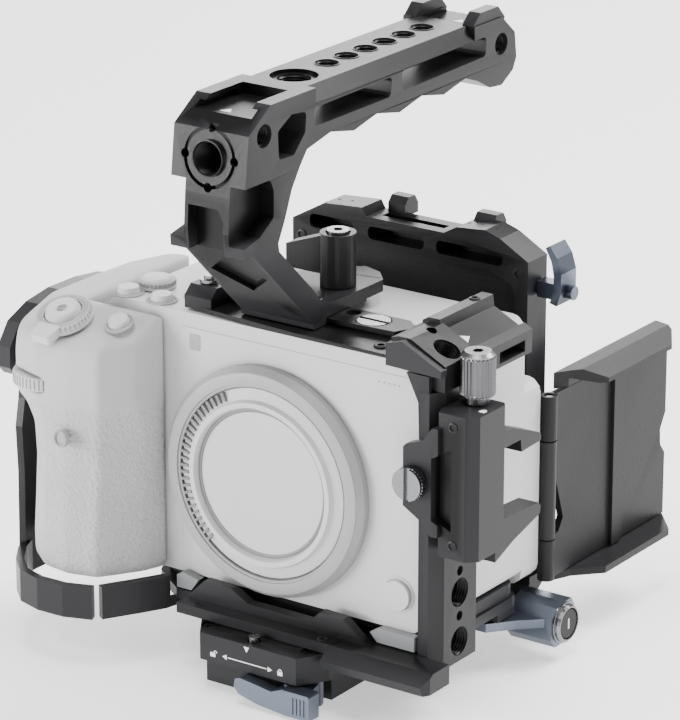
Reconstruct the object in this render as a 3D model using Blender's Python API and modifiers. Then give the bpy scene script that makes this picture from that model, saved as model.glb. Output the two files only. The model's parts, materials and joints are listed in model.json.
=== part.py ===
"""Cinema camera rig: a mirrorless-style camera in a machined cage, with a top
handle, a cable clamp, a quick-release base, a tilting back plate and a side
screen hood.

The helpers take millimetres on the camera's own datum: x to the viewer's right
of the lens axis, y rearwards from the camera's front face, z up from the
camera's bottom. They turn them into metres about the centre of the base's
bottom face, which is the object's origin.
"""
import math

import bmesh
import bpy
from mathutils import Matrix, Vector

MM = 0.001

# Driving dimensions, in millimetres on the camera's datum.
GAP = 0.3                 # between touching pieces
BODY_WIDTH_LEFT = -62.0
BODY_RIGHT = 50.0
BODY_DEPTH = 50.0
BODY_HEIGHT = 78.0
SCREEN_DEPTH = 8.7
LENS_HEIGHT = 34.9
BASE_BOTTOM = -22.5
BASE_MIDDLE = (6.0, 18.25)
PLATE_BOTTOM = -6.0
SIDE_FACE = 56.0          # outer face of the side plate
RAIL_TOP = 81.2
RAIL_FRONT = 9.5
RAIL_REAR = 20.6
HANDLE_MIDDLE = 0.5
HANDLE_HALF = 12.0
HANDLE_TOP = 146.3
LEVER_AXIS = (5.2, 25.0)
CLAMP_KNOB_AXIS = (62.0, 7.7)
HOOD_AXIS = (50.4, 61.9)
TILT_AXIS = (57.0, -12.5)  # y and z of the back plate's hinge
QR_LEVER_AXIS = (20.5, -11.0)
FRONT_DIAL = (-65.5, -13.6)

TAP_QUARTER = 3.2         # radius of a quarter inch thread
TAP_THREE_EIGHTHS = 4.8   # radius of a three eighths inch thread
PIN_HOLE = 1.4

COLOURS = {
    "black_anodised": ((0.012, 0.012, 0.013), 0.42, 0.85),
    "blue_anodised": ((0.115, 0.145, 0.21), 0.34, 0.9),
    "steel": ((0.55, 0.56, 0.58), 0.25, 1.0),
    "camera_plastic": ((0.62, 0.62, 0.62), 0.55, 0.0),
    "camera_rubber": ((0.56, 0.56, 0.56), 0.75, 0.0),
    "black_plastic": ((0.02, 0.02, 0.021), 0.5, 0.0),
    "pad_rubber": ((0.5, 0.51, 0.52), 0.6, 0.0),
}


def clear_scene():
    """Remove every object, so the script gives the same result each run."""
    for obj in list(bpy.data.objects):
        bpy.data.objects.remove(obj, do_unlink=True)


def new_collection(name):
    """Make a collection in the scene."""
    group = bpy.data.collections.new(name)
    bpy.context.scene.collection.children.link(group)
    return group


clear_scene()
RIG = new_collection("cinema_camera_rig")
CUTTERS = new_collection("cutters")


def place(x, y, z):
    """Turn a point on the camera's datum into metres about the origin."""
    return Vector(((x - BASE_MIDDLE[0]) * MM, (y - BASE_MIDDLE[1]) * MM, (z - BASE_BOTTOM) * MM))


def material(name):
    """Make or find a Principled material by its name."""
    found = bpy.data.materials.get(name)
    if found:
        return found
    colour, roughness, metallic = COLOURS[name]
    made = bpy.data.materials.new(name)
    made.use_nodes = True
    shader = made.node_tree.nodes["Principled BSDF"]
    shader.inputs["Base Color"].default_value = (*colour, 1.0)
    shader.inputs["Roughness"].default_value = roughness
    shader.inputs["Metallic"].default_value = metallic
    return made


def add_object(name, mesh, group):
    """Link a mesh as an object of a collection."""
    obj = bpy.data.objects.new(name, mesh)
    group.objects.link(obj)
    return obj


PLANES = {
    "XY": Matrix(((1, 0, 0), (0, 1, 0), (0, 0, 1))),
    "XZ": Matrix(((1, 0, 0), (0, 0, -1), (0, 1, 0))),
    "YZ": Matrix(((0, 0, 1), (1, 0, 0), (0, 1, 0))),
}


def with_arcs(outline, steps):
    """Replace each corner that has a radius by an arc of a few steps."""
    points = []
    count = len(outline)
    for index, corner in enumerate(outline):
        here = Vector(corner[:2])
        if len(corner) == 2:
            points.append(here)
            continue
        before = (Vector(outline[index - 1][:2]) - here).normalized()
        after = (Vector(outline[(index + 1) % count][:2]) - here).normalized()
        half = before.angle(after) / 2
        reach = corner[2] / math.tan(half)
        middle = here + (before + after).normalized() * corner[2] / math.sin(half)
        start = here + before * reach - middle
        end = here + after * reach - middle
        for step in range(steps + 1):
            arm = start.lerp(end, step / steps).normalized() * corner[2]
            points.append(middle + arm)
    return points


EXTRUSION_AXIS = {"XY": "Z", "XZ": "Y", "YZ": "X"}


def prism(name, plane, outline, low, high, arc_steps=3):
    """Extrude a flat outline, in the named plane, from low to high."""
    curve = bpy.data.curves.new(name, "CURVE")
    curve.dimensions = "2D"
    curve.fill_mode = "BOTH"
    curve.extrude = abs(high - low) / 2 * MM
    spline = curve.splines.new("POLY")
    points = with_arcs(outline, arc_steps)
    spline.points.add(len(points) - 1)
    for target, point in zip(spline.points, points):
        target.co = (point.x * MM, point.y * MM, 0.0, 1.0)
    spline.use_cyclic_u = True
    guide = add_object(name + "_curve", curve, CUTTERS)
    bpy.context.view_layer.update()
    graph = bpy.context.evaluated_depsgraph_get()
    mesh = bpy.data.meshes.new_from_object(guide.evaluated_get(graph))
    bpy.data.objects.remove(guide)
    bpy.data.curves.remove(curve)
    shift = direction(EXTRUSION_AXIS[plane]) * (low + high) / 2
    turn = PLANES[plane].to_4x4()
    mesh.transform(Matrix.Translation(place(*shift)) @ turn)
    return closed(name, mesh)


def closed(name, mesh):
    """Weld a mesh's seams, point its faces outwards and make it an object."""
    form = bmesh.new()
    form.from_mesh(mesh)
    bmesh.ops.remove_doubles(form, verts=form.verts, dist=1e-6)
    bmesh.ops.recalc_face_normals(form, faces=form.faces)
    form.to_mesh(mesh)
    form.free()
    mesh.materials.clear()
    return add_object(name, mesh, RIG)


def direction(axis):
    """Give the unit vector of an axis letter or of a direction."""
    letters = {"X": (1, 0, 0), "Y": (0, 1, 0), "Z": (0, 0, 1)}
    return Vector(letters.get(axis, axis) if isinstance(axis, str) else axis).normalized()


def rod(name, axis, centre, radius, low, high, sides=24, top_radius=None):
    """Make a cylinder or cone along an axis letter, or a direction, between two stations."""
    along = direction(axis)
    form = bmesh.new()
    bmesh.ops.create_cone(
        form, cap_ends=True, segments=sides, radius1=radius * MM,
        radius2=(radius if top_radius is None else top_radius) * MM, depth=(high - low) * MM)
    mesh = bpy.data.meshes.new(name)
    form.to_mesh(mesh)
    form.free()
    turn = along.to_track_quat("Z", "Y").to_matrix().to_4x4()
    middle = place(*centre) + along * (low + high) / 2 * MM
    mesh.transform(Matrix.Translation(middle) @ turn)
    return closed(name, mesh)


def rod_x(name, y, z, radius, low, high, sides=24, top_radius=None):
    """Make a cylinder along X between two x stations."""
    return rod(name, "X", (0, y, z), radius, low, high, sides, top_radius)


def rod_y(name, x, z, radius, low, high, sides=24, top_radius=None):
    """Make a cylinder along Y between two y stations."""
    return rod(name, "Y", (x, 0, z), radius, low, high, sides, top_radius)


def rod_z(name, x, y, radius, low, high, sides=24, top_radius=None):
    """Make a cylinder along Z between two z stations."""
    return rod(name, "Z", (x, y, 0), radius, low, high, sides, top_radius)


def box(name, low, high):
    """Make a box between two corners."""
    return prism(name, "XY", [(low[0], low[1]), (high[0], low[1]), (high[0], high[1]),
                              (low[0], high[1])], low[2], high[2])


def turned(name, axis, centre, profile, sides=48):
    """Turn a closed profile of (radius, station) points, outer side first, about an axis."""
    mesh = bpy.data.meshes.new(name)
    points = [(radius * MM, 0.0, station * MM) for radius, station in profile]
    count = len(points)
    edges = [(index, (index + 1) % count) for index in range(count)]
    if profile[0][0] == 0 and profile[-1][0] == 0:
        edges.pop()
    mesh.from_pydata(points, edges, [])
    obj = add_object(name, mesh, CUTTERS)
    screw = obj.modifiers.new("turn", "SCREW")
    screw.steps = sides
    screw.render_steps = sides
    screw.use_merge_vertices = True
    screw.merge_threshold = 1e-5
    bpy.context.view_layer.update()
    graph = bpy.context.evaluated_depsgraph_get()
    solid = bpy.data.meshes.new_from_object(obj.evaluated_get(graph))
    bpy.data.objects.remove(obj)
    turn = direction(axis).to_track_quat("Z", "Y").to_matrix().to_4x4()
    solid.transform(Matrix.Translation(place(*centre)) @ turn)
    return closed(name, solid)


def hide_tool(tool):
    """Move a cutting or joining shape out of the model."""
    RIG.objects.unlink(tool)
    CUTTERS.objects.link(tool)
    tool.hide_render = True
    tool.display_type = "WIRE"


def combine(target, tool, operation):
    """Add an exact Boolean of a tool to a piece."""
    change = target.modifiers.new(tool.name, "BOOLEAN")
    change.operation = operation
    change.solver = "EXACT"
    change.object = tool
    hide_tool(tool)


def cut(target, *tools):
    """Take each tool's shape out of a piece."""
    for tool in tools:
        combine(target, tool, "DIFFERENCE")


def join(target, *tools):
    """Add each tool's shape to a piece."""
    for tool in tools:
        combine(target, tool, "UNION")


def finish(obj, finish_name, pivot=None):
    """Give a piece its material, smooth shading and, if it moves, an origin on its axis."""
    obj.data.materials.append(material(finish_name))
    obj.data.shade_smooth()
    obj.data.set_sharp_from_angle(angle=math.radians(30))
    if pivot:
        point = place(*pivot)
        obj.data.transform(Matrix.Translation(-point))
        obj.location = point
    return obj


# ---------------------------------------------------------------- camera

def camera_body():
    """The camera's main shell: a rounded slab with a lens throat."""
    outline = [(BODY_WIDTH_LEFT, 1.2, 3), (BODY_RIGHT - GAP, 1.2, 3), (BODY_RIGHT - GAP, 77.7, 4),
               (-52, 77.7, 4), (-60, 72, 3), (BODY_WIDTH_LEFT, 60, 3)]
    shell = prism("camera_body", "XZ", outline, 0, BODY_DEPTH)
    cut(shell, rod_y("lens_throat", 0, LENS_HEIGHT, 20, -4, 14, 40))
    return finish(shell, "camera_plastic")


GRIP_PLAN = [(-34.6, -0.6), (-37.5, -9), (-45, -21.0), (-54, -23.6), (-62.5, -22.4), (-70, -16.5),
             (-75.2, -8), (-77, 2), (-77, 18), (-76, 34), (-70, 46), (-62.4, 48)]
HEAD_PLAN = [(-34.6, -0.6), (-36.5, -12), (-43, -20.5), (-53, -22.6), (-63.5, -22.6), (-72, -19.8),
             (-76.6, -13.5), (-77.8, -4), (-77.8, 14), (-76.6, 33), (-70, 46), (-62.4, 48)]
# Each section: height, share of the head's plan, forward reach, and width about the body's side.
GRIP_SECTIONS = [(1.4, 0, 0.90, 0.96), (3.5, 0, 0.97, 0.99), (10, 0, 0.97, 1.0), (20, 0, 0.92, 0.985),
                 (32, 0, 0.87, 0.97), (42, 0.1, 0.88, 0.97), (48, 0.5, 0.93, 0.98), (52.5, 1, 1.0, 0.995),
                 (60, 1, 1.0, 1.0), (64.5, 1, 1.0, 0.995), (68, 1, 0.97, 0.975), (70, 1, 0.88, 0.94),
                 (72, 0.95, 0.62, 0.88), (75.4, 0.85, 0.16, 0.74)]


def grip_ring(form, height, head, reach, width):
    """One plan section of the grip, between the hand's plan and the head's plan."""
    ring = []
    for hand_point, head_point in zip(GRIP_PLAN, HEAD_PLAN):
        x, y = Vector(hand_point).lerp(Vector(head_point), head)
        depth = y * reach if y < 0 else y
        side = BODY_WIDTH_LEFT + (x - BODY_WIDTH_LEFT) * (width if x < BODY_WIDTH_LEFT else 1.0)
        if x > -40:
            depth = min(depth, -0.4 - (0.2 if x < -35 else 0.0))
        ring.append(form.verts.new(place(side, depth, height)))
    for x, y in ((BODY_WIDTH_LEFT - GAP, 48), (BODY_WIDTH_LEFT - GAP, -0.4)):
        ring.append(form.verts.new(place(x, y, height)))
    return ring


def camera_grip():
    """The moulded hand grip: a loft that wraps the body's front corner and side."""
    form = bmesh.new()
    rings = [grip_ring(form, *section) for section in GRIP_SECTIONS]
    count = len(rings[0])
    for low, high in zip(rings, rings[1:]):
        for index in range(count):
            after = (index + 1) % count
            form.faces.new((low[index], low[after], high[after], high[index]))
    form.faces.new(rings[0])
    form.faces.new(rings[-1])
    bmesh.ops.triangulate(form, faces=[face for face in form.faces if len(face.verts) > 4])
    mesh = bpy.data.meshes.new("camera_grip")
    form.to_mesh(mesh)
    form.free()
    grip = closed("camera_grip", mesh)
    cut(grip, rod_z("dial_slot", *FRONT_DIAL, 10.1, 53.8, 58.2, 40))
    return finish(grip, "camera_rubber")


def camera_screen():
    """The flat screen module on the camera's back."""
    outline = [(-30, -1.8, 4), (BODY_RIGHT - 0.6, -1.8, 4), (BODY_RIGHT - 0.6, 57, 4), (-30, 57, 4)]
    panel = prism("camera_screen", "XZ", outline, BODY_DEPTH + GAP, BODY_DEPTH + GAP + SCREEN_DEPTH)
    return finish(panel, "camera_plastic")


def lens_parts():
    """The mount ring and the cap that closes it."""
    ring = turned("lens_mount_ring", "Y", (0, 0, LENS_HEIGHT),
                  [(33, -0.3), (33, -2.4), (31.6, -4), (27.6, -4), (27.6, -0.3)][::-1], 56)
    finish(ring, "camera_plastic")
    cap = turned("body_cap", "Y", (0, 0, LENS_HEIGHT),
                 [(0, -3.6), (21.5, -3.6), (22, -5.4), (23.4, -5.4), (24, -4.2), (27.1, -3.4),
                  (27.1, -0.3), (18, -0.3), (18, 6), (0, 6)], 56)
    finish(cap, "camera_plastic", (0, 0, LENS_HEIGHT))


CONTROLS = [
    ("button_top_left", (-50.5, 3.8), 3.3), ("button_top_middle", (-39, 3.9), 3.3),
    ("button_top_right", (-33.2, 12.8), 3.0),
]
DECK_TILT = math.radians(22)      # the grip's sloped deck and the zoom lever on it
DECK_NORMAL = Vector((0, -math.sin(DECK_TILT), math.cos(DECK_TILT)))
LEVER_CENTRE = (-59.4, -12.9, 72.6)
DECK_BUTTON = (-43.4, -9.3, 73.3)


def camera_controls():
    """The camera's dials, buttons and zoom lever."""
    for name, (x, y), radius in CONTROLS:
        button = rod_z(name, x, y, radius, BODY_HEIGHT, BODY_HEIGHT + 1.9, 20, radius * 0.85)
        finish(button, "camera_plastic", (x, y, BODY_HEIGHT))
    dial = turned("rear_dial", "Z", (-47.4, 12.6, BODY_HEIGHT),
                  [(0, 3.0), (3.6, 3.0), (4.2, 2.4), (4.3, 1.0), (5.4, 0.8), (5.4, 0.1), (0, 0.1)], 28)
    finish(dial, "camera_plastic", (-47.4, 12.6, BODY_HEIGHT))
    front = rod_z("front_dial", *FRONT_DIAL, 9.7, 54.2, 57.8, 40)
    finish(front, "camera_plastic", (*FRONT_DIAL, 56))
    lever = rod("zoom_lever", DECK_NORMAL, LEVER_CENTRE, 8.0, 0.9, 3.4, 32, 7.6)
    tab = prism("zoom_tab", "XY", [(-3.6, -6), (-3.2, -11.6, 1), (3.2, -11.6, 1), (3.6, -6)], 1.0, 3.6)
    tab.data.transform(Matrix.Translation(-place(0, 0, 0)))
    tab.data.transform(Matrix.Translation(place(*LEVER_CENTRE)) @ Matrix.Rotation(DECK_TILT, 4, "X"))
    join(lever, tab)
    cut(lever, rod("shutter_well", DECK_NORMAL, LEVER_CENTRE, 5.6, 2.0, 5, 28))
    finish(lever, "camera_plastic", LEVER_CENTRE)
    shutter = rod("shutter_button", DECK_NORMAL, LEVER_CENTRE, 5.2, 3.0, 4.6, 28, 4.6)
    finish(shutter, "camera_plastic", LEVER_CENTRE)
    deck = rod("button_deck", DECK_NORMAL, DECK_BUTTON, 3.1, 0.8, 2.4, 20, 2.7)
    finish(deck, "camera_plastic", DECK_BUTTON)
    record = rod_y("front_button", 42.5, 11.5, 4.2, -1.5, -0.3, 24)
    finish(record, "camera_plastic", (42.5, -0.3, 11.5))


# ---------------------------------------------------------------- cage

def base_plate():
    """The cage's floor, with the fence in front of the camera and the front flange."""
    floor = prism("cage_base_plate", "XY", [(-43, 6, 4), (-30, -3.2), (-24, -3.2), (-24, -11.2),
                                            (28.4, -11.2), (28.4, -3.8), (50.1, -3.8), (50.1, 49, 4),
                                            (-43, 49, 6)], PLATE_BOTTOM, -3.0)
    fence = prism("fence", "XZ", [(-24, -5), (-24, -3), (-18, 3.1), (-8.7, 2.9), (-3, -0.2),
                                  (17.6, -0.2), (21.1, 3.2), (28.7, 3.0), (36.3, -3.1), (50, -3.1),
                                  (50, -5)], -6.4, -3.3)
    deck = prism("deck", "XY", [(-41, 7, 4), (-29, 1), (49.4, 1), (49.4, 48, 4), (-41, 48, 6)], -3.4, 0.9)
    flange = prism("flange", "YZ", [(-3.3, -5.9), (-3.3, -3.1), (-11.2, -3.1), (-15.2, -6.2),
                                    (-14.4, -8.8), (-3.3, -8.8)], 27.3, 61.2)
    join(floor, deck, fence, flange)
    cut(floor, prism("flange_tip", "XY", [(58.5, -17), (64, -17), (64, -8)], -12, 0))
    return finish(floor, "black_anodised")


def side_plate():
    """The cage's upright on the camera's left, with its threaded holes and front gusset."""
    plate = prism("cage_side_plate", "XY", [(50.4, -2.5), (53.6, -2.5), (SIDE_FACE, 1.7),
                                            (SIDE_FACE, 17.4), (50.4, 17.4)], -8, 71.6)
    gusset = prism("gusset", "XZ", [(50.5, 52), (50.0, 68.5), (46.2, 76.2), (53.4, 76.2), (53.4, 52)],
                   -2.4, -0.9)
    join(plate, gusset)
    for height, radius in ((12.1, 4.1), (-2.1, 4.1), (18.4, PIN_HOLE), (5.3, PIN_HOLE), (24, 2.6)):
        cut(plate, rod_x("side_hole", 9.3, height, radius, 49, 58, 20))
    return finish(plate, "black_anodised")


def top_plate():
    """The cage's top bar: a low strip, the handle's rail and the left end block."""
    strip = prism("cage_top_plate", "XY", [(-29.5, 2), (8, -1), (39.8, -1.4), (39.8, 23), (-29.5, 23)],
                  BODY_HEIGHT + GAP, 79.3)
    neck = prism("rail_neck", "XY", [(-29.5, 11.2), (33, 11.2), (33, 19), (-29.5, 19)], 79.2, 80.2)
    rail = prism("rail", "XY", [(-29.5, RAIL_FRONT), (16.7, RAIL_FRONT), (33.5, 10.6), (36.4, 16.5),
                                (32, RAIL_REAR), (-29.5, RAIL_REAR)], 79.9, RAIL_TOP)
    block = prism("end_block", "YZ", [(1.6, 78.4), (1.6, 82), (4.5, 84.6), (17, 84.6), (19, 83), (19, 78.4)],
                  -29.5, -20.5)
    join(strip, neck, rail, block)
    cut(strip, rod_z("screw_seat", 23.8, 15.2, 5.0, 80.1, 83, 28),
        rod_z("spare_hole", 15.6, 17.4, 2.2, 78, 83, 18),
        rod_z("pin_bore", -25.6, 7.8, 1.9, 79.5, 86, 18))
    return finish(strip, "black_anodised")


def rail_fittings():
    """The rail's slotted screw and the sprung safety pin in its end block."""
    screw = rod_z("rail_screw", 23.8, 15.2, 4.6, 80.3, RAIL_TOP + 0.1, 28)
    cut(screw, box("rail_screw_slot", (18, 14.5, 80.8), (30, 15.9, 83)))
    finish(screw, "steel")
    pin = rod_z("safety_pin", -25.6, 7.8, 1.6, 79.8, 86.8, 18)
    join(pin, rod_z("safety_pin_cap", -25.6, 7.8, 2.6, 84.9, 85.7, 20))
    finish(pin, "steel", (-25.6, 7.8, 84.9))


def corner_shoe():
    """The corner block with the slanted accessory shoe, threaded hole and strap slot."""
    block = prism("corner_shoe", "XZ", [(40.2, 78.6), (40.2, 84.2), (42.5, 84.9), (46.2, 84.9), (57.2, 79.2),
                                        (57.2, 72), (50.6, 72), (50.6, 78.6)], -0.6, 15)
    plate = prism("shoe_face", "XZ", [(40.0, 77.1), (40.0, 83.2), (45.0, 84.6), (57.5, 78.6),
                                      (57.5, 76.7)], -3, -0.3)
    tail = prism("shoe_tail", "XZ", [(40.5, 78.9), (40.5, 85.1), (42.4, 86.2), (46.0, 86.2), (46.4, 83.0),
                                     (55.4, 78.6), (56.0, 80.2), (58.6, 78.9), (58.6, 72.3), (50.9, 72.3),
                                     (50.9, 78.9)], 13.6, 39.5)
    join(block, plate, tail)
    slope = Vector((math.sin(math.radians(27)), 0, math.cos(math.radians(27))))
    cut(block, rod("shoe_hole", slope, (53.0, 6.5, 81.3), 3.9, -6, 3, 24),
        rod("shoe_pin_hole", slope, (46.5, 9.0, 84.6), 1.5, -4, 3, 16),
        box("strap_slot", (49, 23.5, 73.4), (61, 36, 76.6)))
    return finish(block, "black_anodised")


def ribbon(name, path, half, low, high):
    """Extrude a strip of even thickness that follows a plan path."""
    points = [Vector(point) for point in path]
    left, right = [], []
    for index, point in enumerate(points):
        before = points[max(index - 1, 0)]
        after = points[min(index + 1, len(points) - 1)]
        run = (after - before).normalized()
        side = Vector((-run.y, run.x)) * half
        left.append(tuple(point + side))
        right.append(tuple(point - side))
    return prism(name, "XY", left + right[::-1], low, high)


def grip_guards():
    """The bands round the camera's grip side: lower band with its post, link and top arc."""
    band = ribbon("grip_guard_lower", [(-80.6, 8), (-80.6, -6), (-78.4, -11.5), (-73.5, -18.6), (-67.5, -24.2),
                                       (-60, -26.4), (-51.5, -26.2), (-43.6, -23.4)], 1.2, -8.5, 1.0)
    post = prism("post", "YZ", [(-8.9, -8), (-8.4, 22), (-9, 36), (-7.4, 44), (-6, 61.2), (2, 63.4),
                                (1.5, 44), (1.5, 8), (7.5, 1), (7.5, -8)], -81.8, -79.4)
    join(band, post)
    finish(band, "black_anodised")
    link = ribbon("grip_guard_link", [(-42.2, -21.9), (-36.5, -12.5), (-32.6, -5.6), (-31.5, 0)], 1.3, -8.5, 1.0)
    cut(link, box("link_trim", (-40, -4.6, -6.4), (-20, 4, 2)))
    finish(link, "black_anodised")
    upper = [(-14.6, 61.4), (-10.2, 67.4), (-2, 70.8), (8, 72.3), (20, 72.2), (30, 71), (41.8, 67.6)]
    lower = [(41.8, 63), (26.5, 67.2), (18.2, 67.6), (17.6, 66.6), (3.6, 64.4), (-6, 61.6), (-12, 57.6),
             (-12.4, 52.8), (-14.8, 55.4)]
    arc = prism("grip_guard_top", "YZ", upper + lower, -82.6, -78.3)
    cut(arc, box("post_clearance", (-82.9, -6.5, 55), (-79.1, 2.6, 64.8)))
    finish(arc, "black_anodised")


def camera_pads():
    """The two pale pads that show between the fence and the camera."""
    left = prism("camera_pad_left", "XZ", [(-30, 1.0), (-28, 2.2), (-22.5, 1.0), (-25, -2.6), (-30, -2.6)],
                 -3.0, -0.4)
    finish(left, "pad_rubber")
    right = prism("camera_pad_right", "XZ", [(35.2, -0.2), (38, 1.4), (49.6, 1.4), (49.6, -2.7), (37.4, -2.7)],
                  -3.0, -0.4)
    finish(right, "pad_rubber")


# ---------------------------------------------------------------- handle

def handle_outline():
    """Side outline of the handle: head, grip with finger waves, neck, leg and foot."""
    waves = []
    for step in range(15):
        y = 76 - step * 5.4
        waves.append((y, 131.6 + 1.1 * math.cos(step * math.pi / 2)))
    return ([(-15.6, HANDLE_TOP), (94.5, HANDLE_TOP), (101.2, 140.6), (102.2, 133.2), (100.4, 129.8),
             (94.6, 126.6), (88.6, 127.2), (82, 130.6)] + waves +
            [(-2.8, 126.6), (-6.4, 121.4), (-9.6, 113.8), (-12.6, 108), (-12.2, 105.6), (3.2, 90.8),
             (7, 86.6), (10.8, 85), (28, 85), (28, 81.5), (9.2, 81.5), (9.2, 79.6), (3.4, 79.6),
             (3.1, 81.1), (-23.9, 107.4), (-27.6, 107.2), (-28.1, 113.3), (-27.4, 123), (-25.4, 140)])


def handle_windows(frame, left, right):
    """Cut the side windows, side holes and neck pockets."""
    windows = [
        [(-12.6, 138.4), (-6.5, 141.6), (0.2, 140.9), (-0.4, 135.3), (-5.5, 130.4), (-12.2, 130.6)],
        [(4, 141.0), (40.0, 141.4), (39.3, 135.9), (4, 135.9)],
        [(44.3, 141.8), (86.6, 142.4), (86.2, 136.8), (45, 136.2)],
    ]
    for number, outline in enumerate(windows):
        corners = [(y, z, 1.2) for y, z in outline]
        cut(frame, prism(f"window_{number}", "YZ", corners, left - 1, right + 1, 2))
    cut(frame, rod_x("front_side_hole", -18.6, 138.6, TAP_QUARTER, left - 1, right + 1, 20),
        rod_x("rear_side_hole", 94.2, 138.6, TAP_QUARTER, left - 1, right + 1, 20))
    pocket = [(-31, 126.2), (-16, 126.2, 1.5), (-14.6, 123), (-14.6, 115.6, 1.5), (-21, 111.6), (-31, 109.5)]
    cut(frame, prism("pocket_right", "YZ", pocket, HANDLE_MIDDLE + 7.2, right + 1, 2),
        prism("pocket_left", "YZ", pocket, left - 1, HANDLE_MIDDLE - 7.2, 2))


def handle_face_holes(frame):
    """Cut the head's front hole, its ring groove and pin holes, and the leg's front pockets."""
    x, z = HANDLE_MIDDLE, 132.7
    cut(frame, rod_y("face_hole", x, z, 4.5, -30, -12, 28))
    groove = turned("face_groove", "Y", (x, 0, z), [(8.3, -30), (8.3, -25.4), (7.3, -25.4), (7.3, -30)][::-1], 32)
    cut(frame, groove)
    for angle in range(0, 360, 90):
        turn = math.radians(angle)
        cut(frame, rod_y("face_pin", x + 7.9 * math.cos(turn), z + 7.9 * math.sin(turn), 1.3, -30, -23.5, 12))
    cut(frame, prism("front_pocket", "XZ", [(x - 6, 119.5), (x + 3.5, 119.5), (x + 5.4, 116.5), (x + 5.4, 105),
                                            (x - 6, 105)], -31, -23.6))
    slant = Vector((0, -1, -1)).normalized()
    cutter = rod("leg_pocket", slant, (x, -14, 97.6), 9.2, -1.6, 6, 4)
    cut(frame, cutter)


def handle_top_cuts(frame):
    """Cut the front shoe, the row of threaded holes and the rear shoe's channel."""
    x = HANDLE_MIDDLE
    cut(frame, box("front_shoe", (x - 7.4, -30, 143.2), (x + 7.4, -1.5, 150)),
        box("front_shoe_slot", (x - 9.3, -30, 143.2), (x + 9.3, -4, 145.0)),
        rod_z("top_ring", x, 11.4, 6.6, 145.3, 150, 28),
        rod_z("top_hole", x, 11.4, 4.6, 140, 150, 24))
    for index in range(6):
        cut(frame, rod_z("row_hole", x, 26.5 + index * 9.1, TAP_QUARTER, 141, 150, 18))
    cut(frame, box("rear_shoe", (x - 7.4, 82.5, 145.0), (x + 7.4, 106, 152)))


def handle_bevels(frame, left, right):
    """Cut the long bevel along each upper edge of the grip."""
    for side, edge in ((1, right), (-1, left)):
        outline = [(edge - side * 3.4, HANDLE_TOP + 0.6), (edge + side * 1.0, 141.0), (edge + side * 2, 149),
                   (edge - side * 3.4, 149)]
        cut(frame, prism("long_bevel", "XZ", outline, 4.5, 80.5))


def handle():
    """The top handle, machined in one piece, with its rear shoe ears and foot."""
    left, right = HANDLE_MIDDLE - HANDLE_HALF, HANDLE_MIDDLE + HANDLE_HALF
    frame = prism("handle_frame", "YZ", handle_outline(), left, right)
    for side, edge in ((1, right), (-1, left)):
        low, high = sorted((edge - side * 0.4, edge - side * 4.2))
        join(frame, prism("shoe_ear", "YZ", [(80, 146.0), (84, 149.6), (93, 149.6), (96.5, 146.0), (96, 145),
                                             (80, 145)], low, high))
    join(frame, prism("foot_pad", "XY", [(right, 6), (right, 36), (8, 41), (2, 43), (-6, 38),
                                         (left, 27), (left, 6)], 81.55, 84.95))
    handle_bevels(frame, left, right)
    handle_windows(frame, left, right)
    handle_face_holes(frame)
    handle_top_cuts(frame)
    cut(frame, rod_z("stud_hole", *LEVER_AXIS, 2.6, 80, 87, 18))
    return finish(frame, "black_anodised")


def handle_clamp():
    """The foot's cam lever with its screw and stud, and the sliding jaw that it pulls."""
    x, y = LEVER_AXIS
    hub = rod_z("clamp_lever", x, y, 5.0, 85.3, 100.2, 28)
    arm = prism("lever_arm", "XZ", [(x - 1, 88.2), (-8.6, 88.2), (-10.3, 89.4), (-10.3, 94.8), (-6, 96.4),
                                    (x - 1, 100.1)], y - 2.7, y + 2.7)
    join(hub, arm)
    cut(hub, rod_z("lever_seat", x, y, 3.5, 99.0, 102, 24), rod_z("lever_bore", x, y, 2.0, 84, 90, 18))
    finish(hub, "black_anodised", (x, y, 85.3))
    screw = rod_z("lever_screw", x, y, 3.2, 99.2, 100.9, 24)
    cut(screw, rod_z("hex_socket", x, y, 1.5, 100, 102, 6))
    finish(screw, "steel", (x, y, 99.2))
    stud = rod_z("clamp_stud", x, y, 1.8, 81.5, 89.0, 18)
    finish(stud, "steel", (x, y, 85.3))
    jaw = prism("clamp_jaw", "XY", [(-9, 21.4), (10.5, 21.4), (10.5, 31), (5, 34), (-4, 31), (-9, 27)],
                79.7, 81.1)
    finish(jaw, "black_anodised", (x, y, 80))


# ---------------------------------------------------------------- cable clamp

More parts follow.
